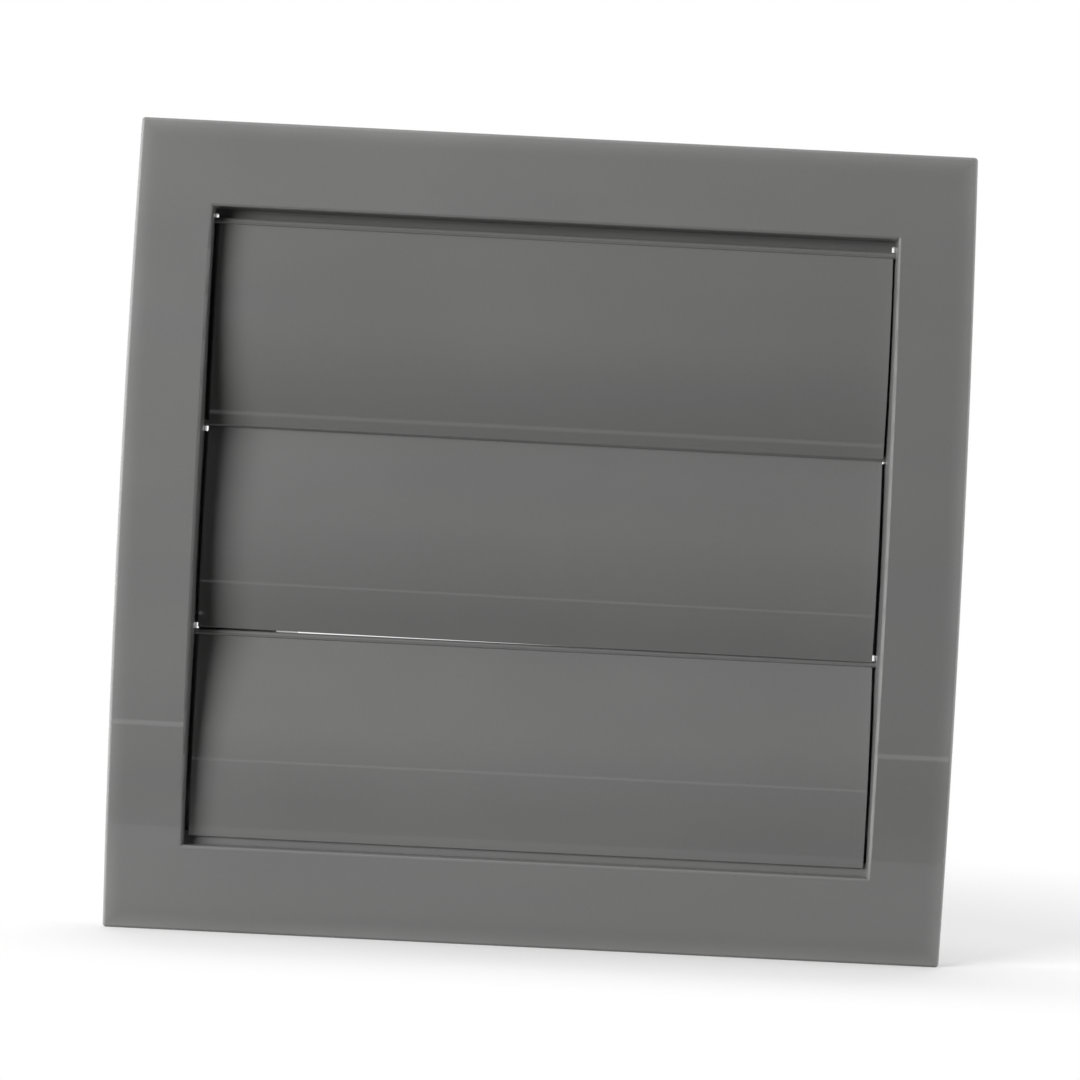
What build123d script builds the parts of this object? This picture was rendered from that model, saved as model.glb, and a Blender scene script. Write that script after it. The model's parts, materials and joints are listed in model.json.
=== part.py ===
"""Louvred vent grille for a round duct: a moulded wall frame and three gravity flaps.

Millimetres. X runs across the face, Z is up and the face looks along -Y.
The origin is on the duct spigot's axis, in the plane of the wall.
"""

import os
from math import cos, radians, sin

from build123d import *

os.makedirs("parts", exist_ok=True)

# Frame: a face that is crowned from top to bottom, standing off the wall on a skirt
frame_width = 142.0
frame_height = 137.5
frame_depth = 14.5
face_crown = 6.0
side_rail = 13.05
end_rail = 14.75
face_wall = 2.2
skirt_wall = 2.0
jamb_wall = 1.8
corner_radius = 0.6
face_edge_radius = 0.6
opening_edge_radius = 0.5

# Back plate across the opening, close behind the flaps
plate_thickness = 2.0
plate_clearance = 0.4

# Stiffening ribs inside the hollow rails
rib_thickness = 1.2
ribs_per_side = 2
ribs_per_end = 3

# Duct spigot
spigot_diameter = 98.0
spigot_wall = 1.5
spigot_length = 38.0
spigot_lead_in = 1.0
spigot_root_radius = 0.8
spigot_land = 2.0

# Wall screws, through bosses in the corners of the back plate
screw_pitch_x = 100.0
screw_pitch_z = 88.0
screw_hole_diameter = 4.5
screw_head_diameter = 8.4
screw_boss_diameter = 11.0

# Flaps: a convex panel below a hinge bead, thinned to a lip at its lower edge, with end pins
flap_names = ("flap_upper", "flap_middle", "flap_lower")
flap_crown = 1.5
flap_thickness = 1.0
lip_thickness = 0.3
lip_height = 3.0
lip_radius = 0.15
flap_end_gap = 0.65
bead_diameter = 1.1
panel_lead = 0.1
pin_length = 2.3

# The flaps hang loosely: how far each sits above its seat's middle and to the right,
# and its roll to the right in degrees
flap_lift = (0.0, 0.4, 0.0)
flap_shift = (0.25, 0.1, 0.1)
flap_roll = (0.18, 0.25, 0.0)

# Hinge seats in the jambs, each with a narrow moulding window behind it
hinge_depth = 8.0
seat_clearance = 0.1
seat_play = 0.75
window_width = 0.5
window_height = 1.4
window_rise = (0.8, -0.05, 0.8)

# Closed flaps: the first hinge line below the lintel, the lowest edge above the sill,
# every other edge above the hinge line below it, and the gap to what stops each edge
top_gap = 2.25
sill_gap = 1.3
edge_rise = 0.175
lap_gap = 0.25

# Ledge on the sill that stops the lowest flap
ledge_lap = 0.9

half_width = frame_width / 2
half_height = frame_height / 2
opening_width = frame_width - 2 * side_rail
opening_height = frame_height - 2 * end_rail
hinge_stand_off = frame_depth - hinge_depth
plate_front = hinge_stand_off + panel_lead - flap_thickness - plate_clearance
plate_recess = plate_front - plate_thickness
bead_radius = bead_diameter / 2
lower_edge_lead = bead_radius + lap_gap + lip_thickness
flap_pitch = (opening_height - top_gap - sill_gap + edge_rise) / len(flap_names)
flap_drop = flap_pitch - edge_rise
top_seat = opening_height / 2 - top_gap
seat_heights = [top_seat - row * flap_pitch for row in range(len(flap_names))]
ledge_height = sill_gap + ledge_lap


def crowned_profile(depth):
    """Side view from the flat wall plane to a front that is crowned from top to bottom."""
    edge_depth = depth - face_crown
    with BuildSketch() as profile:
        with BuildLine():
            Line((-edge_depth, half_height), (0, half_height))
            Line((0, half_height), (0, -half_height))
            Line((0, -half_height), (-edge_depth, -half_height))
            ThreePointArc((-edge_depth, -half_height), (-depth, 0), (-edge_depth, half_height))
        make_face()
    return profile.sketch


# Space inside the hollow rails, open towards the wall, with the ribs left standing
with BuildPart() as rail_space:
    with BuildSketch(Plane.YZ):
        add(crowned_profile(frame_depth - face_wall))
    extrude(amount=half_width, both=True)
    with BuildSketch(Plane.XZ):
        Rectangle(frame_width - 2 * skirt_wall, frame_height - 2 * skirt_wall)
        Rectangle(opening_width + 2 * jamb_wall, opening_height + 2 * jamb_wall, mode=Mode.SUBTRACT)
    extrude(amount=frame_depth, mode=Mode.INTERSECT)
    with BuildSketch(Plane.XZ.offset(plate_recess)):
        with GridLocations(frame_width - side_rail, frame_height / (ribs_per_side + 1), 2, ribs_per_side):
            Rectangle(side_rail, rib_thickness)
        with GridLocations(frame_width / (ribs_per_end + 1), frame_height - end_rail, ribs_per_end, 2):
            Rectangle(rib_thickness, end_rail)
    extrude(amount=frame_depth - plate_recess, mode=Mode.SUBTRACT)

# Frame
with BuildPart() as frame:
    # Face and skirt as one crowned block with rounded corners
    with BuildSketch(Plane.YZ):
        add(crowned_profile(frame_depth))
    extrude(amount=half_width, both=True)
    fillet(frame.edges().filter_by(Axis.Y), corner_radius)

    # Opening, down to the back plate, and the rounded outer and inner edges of the face
    with BuildSketch(Plane.XZ.offset(plate_front)):
        Rectangle(opening_width, opening_height)
    extrude(amount=frame_depth - plate_front, mode=Mode.SUBTRACT)
    face = frame.faces().filter_by(GeomType.CYLINDER).sort_by(SortBy.AREA)[-1]
    fillet(face.outer_wire().edges(), face_edge_radius)
    face = frame.faces().filter_by(GeomType.CYLINDER).sort_by(SortBy.AREA)[-1]
    fillet(face.inner_wires()[0].edges(), opening_edge_radius)

    # Hollow rails; the back plate and the jambs stop short of the wall
    add(rail_space.part, mode=Mode.SUBTRACT)
    with BuildSketch(Plane.XZ):
        Rectangle(opening_width + 2 * jamb_wall, opening_height + 2 * jamb_wall)
    extrude(amount=plate_recess, mode=Mode.SUBTRACT)

    # Ledge behind the lower edge of the lowest flap
    with BuildSketch(Plane.XZ.offset(plate_front)):
        with Locations((0, -opening_height / 2)):
            Rectangle(opening_width, ledge_height, align=(Align.CENTER, Align.MIN))
    extrude(amount=hinge_stand_off + bead_radius - plate_front)

    # Duct spigot on a flat land, with a rounded root and a lead-in at its end
    with BuildSketch(Plane.XZ.offset(plate_recess)):
        Circle(spigot_diameter / 2 + spigot_land)
    extrude(amount=plate_thickness)
    with BuildSketch(Plane.XZ.offset(plate_recess)):
        Circle(spigot_diameter / 2)
    extrude(amount=-plate_recess - spigot_length)
    spigot_end = frame.faces().sort_by(Axis.Y)[-1]
    chamfer(spigot_end.edges(), spigot_lead_in)
    spigot_root = frame.edges().filter_by(GeomType.CIRCLE).filter_by_position(
        Axis.Y, -plate_recess, -plate_recess
    )
    fillet(spigot_root, spigot_root_radius)
    with BuildSketch(Plane.XZ.offset(plate_front)):
        Circle(spigot_diameter / 2 - spigot_wall)
    extrude(amount=-plate_front - spigot_length, mode=Mode.SUBTRACT)

    # Screw bosses that reach the wall, with countersunk holes from the front
    with BuildSketch(Plane.XZ.offset(plate_recess)):
        with GridLocations(screw_pitch_x, screw_pitch_z, 2, 2):
            Circle(screw_boss_diameter / 2)
    extrude(amount=-plate_recess)
    with Locations(Plane.XZ.offset(plate_front)):
        with GridLocations(screw_pitch_x, screw_pitch_z, 2, 2):
            CounterSinkHole(screw_hole_diameter / 2, screw_head_diameter / 2, depth=plate_front)

    # Hinge seats: upright slots through both jambs
    seat_width = bead_diameter + 2 * seat_clearance
    seat_tall = bead_diameter + 2 * seat_play
    with BuildSketch(Plane.YZ):
        with Locations(*[(-hinge_stand_off, height) for height in seat_heights]):
            SlotOverall(seat_tall, seat_width, rotation=90)
    extrude(amount=opening_width / 2 + jamb_wall, both=True, mode=Mode.SUBTRACT)

    # Windows through the back plate behind the seats
    with BuildSketch(Plane.XZ.offset(plate_recess)):
        for height, rise in zip(seat_heights, window_rise):
            with GridLocations(opening_width - window_width, 0, 2, 1):
                with Locations((0, height + rise)):
                    SlotOverall(window_height, window_width, rotation=90)
    extrude(amount=plate_thickness, mode=Mode.SUBTRACT)

frame.part.label = "frame"
export_step(frame.part, "parts/frame.step")

# Flaps, each on its own hinge line
flap_half_length = opening_width / 2 - flap_end_gap
for name, seat_height, lift, shift, roll in zip(flap_names, seat_heights, flap_lift, flap_shift, flap_roll):
    middle = (shift, -hinge_stand_off, seat_height + lift)
    hinge_line = (cos(radians(roll)), 0, -sin(radians(roll)))
    section = Plane(origin=middle, x_dir=(0, 1, 0), z_dir=hinge_line)
    with BuildPart() as flap:
        # Panel: an arc that leans out over the next flap's bead, thinned from behind to the lip
        with BuildSketch(section) as panel:
            with BuildLine():
                SagittaArc((-panel_lead, 0), (-lower_edge_lead, -flap_drop), -flap_crown)
                offset(amount=flap_thickness, side=Side.LEFT)
            make_face()
            lower_end = panel.edges().sort_by(Axis.Y)[0]
            rear_corner = lower_end.vertices().sort_by(Axis.X)[-1]
            chamfer(rear_corner, flap_thickness - lip_thickness, lip_height, reference=lower_end)
            front_corner = panel.vertices().sort_by(Axis.Y)[0]
            fillet(front_corner, lip_radius)
        extrude(amount=flap_half_length, both=True)

        # Hinge bead along the top, running on into the end pins
        with BuildSketch(section):
            Circle(bead_radius)
        extrude(amount=flap_half_length + pin_length, both=True)
    flap.part.label = name
    export_step(flap.part, f"parts/{name}.step")
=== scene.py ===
"""Studio picture of the louvred vent grille: moulded grey plastic on a plain white floor.

Metres, in the CAD model's frame: X across the face, +Y into the wall, Z up.
"""

import json
import math

import bpy
from mathutils import Matrix, Vector

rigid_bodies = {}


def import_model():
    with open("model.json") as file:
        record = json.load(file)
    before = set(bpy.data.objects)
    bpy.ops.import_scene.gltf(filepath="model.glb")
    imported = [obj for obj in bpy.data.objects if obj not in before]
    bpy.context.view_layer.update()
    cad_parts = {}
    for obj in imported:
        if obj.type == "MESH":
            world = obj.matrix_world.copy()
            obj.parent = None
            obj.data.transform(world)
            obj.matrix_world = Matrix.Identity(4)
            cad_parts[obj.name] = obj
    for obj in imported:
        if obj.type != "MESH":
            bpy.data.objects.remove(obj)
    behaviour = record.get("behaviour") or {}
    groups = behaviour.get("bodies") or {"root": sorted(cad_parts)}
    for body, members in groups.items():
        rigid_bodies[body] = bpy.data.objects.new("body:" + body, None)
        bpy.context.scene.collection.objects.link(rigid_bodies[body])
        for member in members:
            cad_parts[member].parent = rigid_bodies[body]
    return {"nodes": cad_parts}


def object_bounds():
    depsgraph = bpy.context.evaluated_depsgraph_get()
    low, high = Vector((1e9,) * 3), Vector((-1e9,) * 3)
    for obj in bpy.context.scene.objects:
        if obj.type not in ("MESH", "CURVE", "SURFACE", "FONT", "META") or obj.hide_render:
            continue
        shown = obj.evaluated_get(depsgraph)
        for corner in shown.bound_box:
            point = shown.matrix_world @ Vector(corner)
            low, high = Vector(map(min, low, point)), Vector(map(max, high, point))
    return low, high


for leftover in list(bpy.data.objects):
    bpy.data.objects.remove(leftover)

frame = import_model()
cad_low, cad_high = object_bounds()

FACE_FRONT = cad_low.y
FACE_MIDDLE = (0, FACE_FRONT, 0)
FLOOR_HEIGHT = cad_low.z

# Photograph: its size, where the face's middle stands in it, and how large it shows the face
PHOTO_PIXELS = 1080
FACE_CENTRE_PIXEL = (540.4, 542.15)
PIXELS_PER_METRE = 5964

# Camera: its distance from the face, its roll, its sensor in millimetres and the nearest it sees
CAMERA_DISTANCE = 0.55
CAMERA_ROLL = math.radians(2.82)
SENSOR_WIDTH = 36.0
NEAREST_SEEN = 0.01

# Each node's finish: its grey, the seed that shifts its patterns, the share of painted shade that
# darkens what leans downwards, the upright part of the normal where that painted shade is whole and
# where it ends, and the strength of the painted highlight along the rim of the face
FLAP_LEAN = (-0.14, 0.05)
FINISHES = {
    "frame": {
        "grey": (0.1515, 0.1512, 0.1512), "seed": 0.0, "painted_shade": 0.20, "lean": (-0.15, -0.07), "rim_highlight": 0.5
    },
    # The three flaps are one moulding: their greys and painted shade shares differ only to paint in the
    # light and shade that each flap's place gets
    "flap_upper": {
        "grey": (0.1465, 0.1462, 0.1462), "seed": 1.0, "painted_shade": 0.21, "lean": FLAP_LEAN, "rim_highlight": 0.0
    },
    "flap_middle": {
        "grey": (0.149, 0.1487, 0.1487), "seed": 2.0, "painted_shade": 0.21, "lean": FLAP_LEAN, "rim_highlight": 0.0
    },
    "flap_lower": {
        "grey": (0.158, 0.1577, 0.1577), "seed": 3.0, "painted_shade": 0.24, "lean": FLAP_LEAN, "rim_highlight": 0.0
    },
}

# Patterns in the plastic: waves per metre and levels of detail
CLOUD = (28, 3.0)
SPECKLE = (1800, 1.0)
STREAKS = (90, 3.0)
# The next pattern makes the painted highlight along the rim of the face uneven
RIM_HIGHLIGHT_PATTERN = (45, 3.0)
UNEVEN_GLOSS = (60, 4.0)
SINK_WAVES = (14, 1.0)
GRAIN = (2600, 2.0)

# The range that nearly all of a pattern lies in, how far the patterns take the colour to either
# side, how the streaks are drawn out, and the blue that the strongest streaks keep
NOISE_RANGE = (0.3, 0.7)
CLOUD_SWING = 0.02
SPECKLE_SWING = 0.015
STREAK_SWING = 0.02
STREAK_SCALE = (0.12, 1.0, 1.0)
STREAK_LEAST_BLUE = 0.978

# Gloss of the plastic, and the heights of its sink waves and its grain
ROUGHNESS_RANGE = (0.30, 0.40)
PLASTIC_IOR = 1.5
COAT_WEIGHT = 0.35
COAT_ROUGHNESS = 0.02
SINK_HEIGHT = 0.00006
GRAIN_HEIGHT = 0.0000016

# Painted highlight along the rim of the face: how far in it reaches, how fast it fades, how uneven
# it is, and the normal's part along Y where it is whole and where the rounded edge ends it
RIM_HIGHLIGHT_REACH = 0.0035
RIM_HIGHLIGHT_FADE = 2.0
RIM_HIGHLIGHT_SWING = 0.25
RIM_HIGHLIGHT_FACING = (-1.0, -0.5)

# Floor: its far and front edges, how far from the object it is shaded and from where it is plain
# white, the fade to plain white at its front edge, the white that the shaded part has already, and
# its paleness for rays that only light and for rays that see it
FLOOR_REACH = 6.0
FLOOR_FRONT = -0.06
FRONT_FADE = 0.04
SHADED_REACH, PLAIN_REACH = 0.11, 0.22
PLAIN_SHARE = 0.25
LIGHTING_PALENESS, SEEN_PALENESS = 0.40, 0.95

# Dark wall behind the camera, and the light of the surroundings
WALL_HALF = 1.7
WALL_PLACE = (0, -2.2, 0)
WALL_GREY = (0.04, 0.04, 0.04, 1.0)
AMBIENT = 0.06

# Soft boxes: name, place, target, size, and power in watts
SOFT_BOXES = (
    ("key", (-0.775, -0.846, 0.385), FACE_MIDDLE, (0.71, 0.52), 13.4),
    ("fill", (-0.96, -0.97, 0.01), FACE_MIDDLE, (0.75, 0.36), 10.2),
    ("top", (0.0, 0.25, 0.9), (0, 0.1, FLOOR_HEIGHT), (0.9, 0.9), 6.5),
    ("left_rim", (-1.0, 0.12, -0.015), FACE_MIDDLE, (0.5, 0.10), 20),
    ("right_rim", (1.0, 0.12, -0.015), FACE_MIDDLE, (0.5, 0.10), 20),
)

# Slits of light: name, place across, height, size, and power in watts
LIGHT_SLITS = (
    ("flap_slit", 0, -0.093, (0.234, 0.005), 0.0065),
    ("left_rail_slit", -0.131, -0.163, (0.030, 0.004), 0.0012),
    ("right_rail_slit", 0.131, -0.161, (0.030, 0.004), 0.0012),
)


class Nodes:
    """A node tree with short ways to add nodes and join them."""

    def __init__(self, tree):
        self.tree = tree
        tree.nodes.clear()

    def add(self, kind, **settings):
        node = self.tree.nodes.new(kind)
        for name, value in settings.items():
            setattr(node, name, value)
        return node

    def link(self, output, socket):
        self.tree.links.new(output, socket)

    def noise(self, coordinates, scale, detail):
        """A noise field; scale is in waves per metre."""
        node = self.add("ShaderNodeTexNoise")
        node.inputs["Scale"].default_value = scale
        node.inputs["Detail"].default_value = detail
        self.link(coordinates, node.inputs["Vector"])
        return node.outputs["Fac"]

    def remap(self, value, low, high, start, end):
        """The value taken from start..end to low..high."""
        node = self.add("ShaderNodeMapRange")
        node.inputs["From Min"].default_value = start
        node.inputs["From Max"].default_value = end
        node.inputs["To Min"].default_value = low
        node.inputs["To Max"].default_value = high
        self.link(value, node.inputs["Value"])
        return node.outputs["Result"]

    def spread(self, noise, low, high):
        """A noise field's usual range taken to low..high."""
        return self.remap(noise, low, high, *NOISE_RANGE)

    def swing(self, noise, amount, middle=1.0):
        """A noise field that swings by that share to either side of a middle value."""
        return self.spread(noise, middle * (1.0 - amount), middle * (1.0 + amount))

    def math(self, operation, *values):
        node = self.add("ShaderNodeMath", operation=operation)
        for socket, value in zip(node.inputs, values):
            if isinstance(value, (int, float)):
                socket.default_value = value
            else:
                self.link(value, socket)
        return node.outputs["Value"]

    def split(self, vector):
        """The X, Y and Z of a vector."""
        node = self.add("ShaderNodeSeparateXYZ")
        self.link(vector, node.inputs["Vector"])
        return node.outputs

    def seen_ray(self):
        """One for a camera, mirrored or see-through ray, and zero for a ray that only lights."""
        path = self.add("ShaderNodeLightPath")
        seen = self.math("MAXIMUM", path.outputs["Is Camera Ray"], path.outputs["Is Glossy Ray"])
        return self.math("MAXIMUM", seen, path.outputs["Is Transmission Ray"])

    def bump(self, height, distance, normal=None):
        """A bump of that height in metres."""
        node = self.add("ShaderNodeBump")
        node.inputs["Strength"].default_value = 1.0
        node.inputs["Distance"].default_value = distance
        self.link(height, node.inputs["Height"])
        if normal:
            self.link(normal, node.inputs["Normal"])
        return node.outputs["Normal"]


def new_material(name):
    """A material, its empty node tree, and the socket that takes its surface."""
    material = bpy.data.materials.new(name)
    material.use_nodes = True
    nodes = Nodes(material.node_tree)
    return material, nodes, nodes.add("ShaderNodeOutputMaterial").inputs["Surface"]


def painted_rim_highlight(nodes, place, strength):
    """A painted highlight of that strength at the rim of the face, fading inwards, and nothing on the
    sides and the back.
    """
    spot = nodes.split(place.outputs["Object"])
    from_side = nodes.math("SUBTRACT", cad_high.x, nodes.math("ABSOLUTE", spot["X"]))
    from_end = nodes.math("SUBTRACT", cad_high.z, nodes.math("ABSOLUTE", spot["Z"]))
    inset = nodes.math("MINIMUM", from_side, from_end)
    fade = nodes.math("POWER", nodes.remap(inset, 1.0, 0.0, 0.0, RIM_HIGHLIGHT_REACH), RIM_HIGHLIGHT_FADE)
    frontal = nodes.remap(nodes.split(place.outputs["Normal"])["Y"], 1.0, 0.0, *RIM_HIGHLIGHT_FACING)
    return nodes.math("MULTIPLY", nodes.math("MULTIPLY", fade, frontal), strength)


def moulded_plastic(name, grey, seed, painted_shade, lean, rim_highlight):
    """Semi-gloss moulded plastic: faint clouding, uneven gloss, soft sink waves and a fine skin.

    Painted shade: what leans downwards is darker by that share, and what leans upwards keeps its grey.
    """
    material, nodes, surface = new_material(name)
    shader = nodes.add("ShaderNodeBsdfPrincipled")
    nodes.link(shader.outputs["BSDF"], surface)
    place = nodes.add("ShaderNodeTexCoord")
    mapping = nodes.add("ShaderNodeMapping")
    mapping.inputs["Location"].default_value = (seed, 2 * seed, 3 * seed)
    nodes.link(place.outputs["Object"], mapping.inputs["Vector"])
    spot = mapping.outputs["Vector"]

    # Colour: broad clouding and level streaks from the melt's flow, and a very fine speckle
    cloud = nodes.swing(nodes.noise(spot, *CLOUD), CLOUD_SWING)
    speckle = nodes.swing(nodes.noise(spot, *SPECKLE), SPECKLE_SWING)
    flow = nodes.add("ShaderNodeMapping")
    flow.inputs["Scale"].default_value = STREAK_SCALE
    nodes.link(spot, flow.inputs["Vector"])
    streaks = nodes.noise(flow.outputs["Vector"], *STREAKS)
    tone_and_painted_light = nodes.math("MULTIPLY", cloud, speckle)
    tone_and_painted_light = nodes.math("MULTIPLY", tone_and_painted_light, nodes.swing(streaks, STREAK_SWING))

    # Painted shade by how the surface leans, and a painted highlight along the rim of the face
    upright = nodes.split(place.outputs["Normal"])["Z"]
    tone_and_painted_light = nodes.math("MULTIPLY", tone_and_painted_light, nodes.remap(upright, 1.0 - painted_shade, 1.0, *lean))
    if rim_highlight:
        strength = nodes.swing(nodes.noise(spot, *RIM_HIGHLIGHT_PATTERN), RIM_HIGHLIGHT_SWING, rim_highlight)
        rim = painted_rim_highlight(nodes, place, strength)
        tone_and_painted_light = nodes.math("MULTIPLY", tone_and_painted_light, nodes.math("ADD", rim, 1.0))

    # The grey takes the tone with its painted shade and highlight, and the streaks are a little warmer
    blue_tone = nodes.math("MULTIPLY", tone_and_painted_light, nodes.spread(streaks, 1.0, STREAK_LEAST_BLUE))
    colour_tone = nodes.add("ShaderNodeCombineColor")
    for channel, value in (("Red", tone_and_painted_light), ("Green", tone_and_painted_light), ("Blue", blue_tone)):
        nodes.link(value, colour_tone.inputs[channel])
    colour = nodes.add("ShaderNodeMix", data_type="RGBA", blend_type="MULTIPLY")
    colour.inputs["Factor"].default_value = 1.0
    colour.inputs["A"].default_value = (*grey, 1.0)
    nodes.link(colour_tone.outputs["Color"], colour.inputs["B"])
    nodes.link(colour.outputs["Result"], shader.inputs["Base Color"])

    # Gloss: a little uneven, as handled plastic is
    gloss = nodes.spread(nodes.noise(spot, *UNEVEN_GLOSS), *ROUGHNESS_RANGE)
    nodes.link(gloss, shader.inputs["Roughness"])
    shader.inputs["IOR"].default_value = PLASTIC_IOR
    shader.inputs["Coat Weight"].default_value = COAT_WEIGHT
    shader.inputs["Coat Roughness"].default_value = COAT_ROUGHNESS

    # Skin: long shallow waves and a fine grain
    waves = nodes.bump(nodes.noise(spot, *SINK_WAVES), SINK_HEIGHT)
    skin = nodes.bump(nodes.noise(spot, *GRAIN), GRAIN_HEIGHT, waves)
    nodes.link(skin, shader.inputs["Normal"])
    nodes.link(waves, shader.inputs["Coat Normal"])
    return material


def dress(node, material):
    """Give a CAD node its finish."""
    slots = frame["nodes"][node].data.materials
    for index in range(len(slots)):
        slots[index] = material


def area_light(name, place, target, size, power, in_gloss=False):
    """A soft box at a place, looking at a target."""
    lamp = bpy.data.lights.new(name, "AREA")
    lamp.shape = "RECTANGLE"
    lamp.size, lamp.size_y = size
    lamp.energy = power
    light = bpy.data.objects.new(name, lamp)
    bpy.context.collection.objects.link(light)
    light.location = place
    light.rotation_euler = (Vector(target) - Vector(place)).to_track_quat("-Z", "Y").to_euler()
    light.visible_camera = False
    light.visible_glossy = in_gloss
    return light


def light_slit(name, across, height, size, power):
    """A thin level slit of light at the camera's distance, seen only mirrored in the glossy faces."""
    place = (across, FACE_FRONT - CAMERA_DISTANCE, height)
    slit = area_light(name, place, (across, FACE_FRONT, height), size, power, in_gloss=True)
    slit.visible_diffuse = False


def studio_world():
    """White where the camera, a reflection or a see-through ray meets it, and a soft fill elsewhere."""
    world = bpy.data.worlds.new("studio")
    world.use_nodes = True
    bpy.context.scene.world = world
    nodes = Nodes(world.node_tree)
    output = nodes.add("ShaderNodeOutputWorld")
    background = nodes.add("ShaderNodeBackground")
    background.inputs["Color"].default_value = (1.0, 1.0, 1.0, 1.0)
    nodes.link(background.outputs["Background"], output.inputs["Surface"])
    strength = nodes.remap(nodes.seen_ray(), AMBIENT, 1.0, 0.0, 1.0)
    nodes.link(strength, background.inputs["Strength"])


def flat_sheet(name, corners, material):
    """A four-cornered flat sheet."""
    mesh = bpy.data.meshes.new(name)
    mesh.from_pydata(corners, [], [(0, 1, 2, 3)])
    mesh.materials.append(material)
    sheet = bpy.data.objects.new(name, mesh)
    bpy.context.collection.objects.link(sheet)
    return sheet


def white_floor():
    """A wide white floor under the object, shaded near it and plain white further off and in front."""
    material, nodes, surface = new_material("white_floor")
    seen = nodes.seen_ray()
    shaded = nodes.add("ShaderNodeBsdfDiffuse")
    paleness = nodes.remap(seen, LIGHTING_PALENESS, SEEN_PALENESS, 0.0, 1.0)
    nodes.link(paleness, shaded.inputs["Color"])
    plain = nodes.add("ShaderNodeEmission")
    place = nodes.add("ShaderNodeTexCoord").outputs["Object"]
    distance = nodes.add("ShaderNodeVectorMath", operation="LENGTH")
    nodes.link(place, distance.inputs[0])
    far = nodes.remap(distance.outputs["Value"], PLAIN_SHARE, 1.0, SHADED_REACH, PLAIN_REACH)
    ahead = nodes.remap(nodes.split(place)["Y"], 1.0, 0.0, FLOOR_FRONT, FLOOR_FRONT + FRONT_FADE)
    whiteness = nodes.math("MULTIPLY", nodes.math("MAXIMUM", far, ahead), seen)
    mix = nodes.add("ShaderNodeMixShader")
    nodes.link(whiteness, mix.inputs["Fac"])
    nodes.link(shaded.outputs["BSDF"], mix.inputs[1])
    nodes.link(plain.outputs["Emission"], mix.inputs[2])
    nodes.link(mix.outputs["Shader"], surface)
    corners = [
        (-FLOOR_REACH, FLOOR_FRONT, 0),
        (FLOOR_REACH, FLOOR_FRONT, 0),
        (FLOOR_REACH, FLOOR_REACH, 0),
        (-FLOOR_REACH, FLOOR_REACH, 0),
    ]
    floor = flat_sheet("floor", corners, material)
    floor.location.z = FLOOR_HEIGHT


def dark_wall():
    """The studio's dark wall far behind the camera, which the glossy face mirrors."""
    material, nodes, surface = new_material("dark_wall")
    shader = nodes.add("ShaderNodeBsdfDiffuse")
    shader.inputs["Color"].default_value = WALL_GREY
    nodes.link(shader.outputs["BSDF"], surface)
    corners = [
        (-WALL_HALF, 0, -WALL_HALF),
        (WALL_HALF, 0, -WALL_HALF),
        (WALL_HALF, 0, WALL_HALF),
        (-WALL_HALF, 0, WALL_HALF),
    ]
    wall = flat_sheet("dark_wall", corners, material)
    wall.location = WALL_PLACE
    wall.visible_camera = False


def photo_camera():
    """The photograph's camera: straight in front of the face, rolled a little."""
    centre = PHOTO_PIXELS / 2
    right = (centre - FACE_CENTRE_PIXEL[0]) / PIXELS_PER_METRE
    up = (FACE_CENTRE_PIXEL[1] - centre) / PIXELS_PER_METRE
    camera = bpy.data.objects.new("camera", bpy.data.cameras.new("camera"))
    bpy.context.collection.objects.link(camera)
    camera.data.sensor_width = SENSOR_WIDTH
    camera.data.lens = SENSOR_WIDTH * CAMERA_DISTANCE * PIXELS_PER_METRE / PHOTO_PIXELS
    camera.data.clip_start = NEAREST_SEEN
    place = Matrix.Translation((right, FACE_FRONT - CAMERA_DISTANCE, up))
    turn = Matrix.Rotation(math.radians(90), 4, "X") @ Matrix.Rotation(CAMERA_ROLL, 4, "Z")
    camera.matrix_world = place @ turn
    bpy.context.scene.camera = camera


for node, finish in FINISHES.items():
    dress(node, moulded_plastic(f"{node}_moulding", **finish))

white_floor()
dark_wall()
studio_world()
for soft_box in SOFT_BOXES:
    area_light(*soft_box)
for slit in LIGHT_SLITS:
    light_slit(*slit)
photo_camera()

bpy.context.scene.view_settings.view_transform = "Standard"
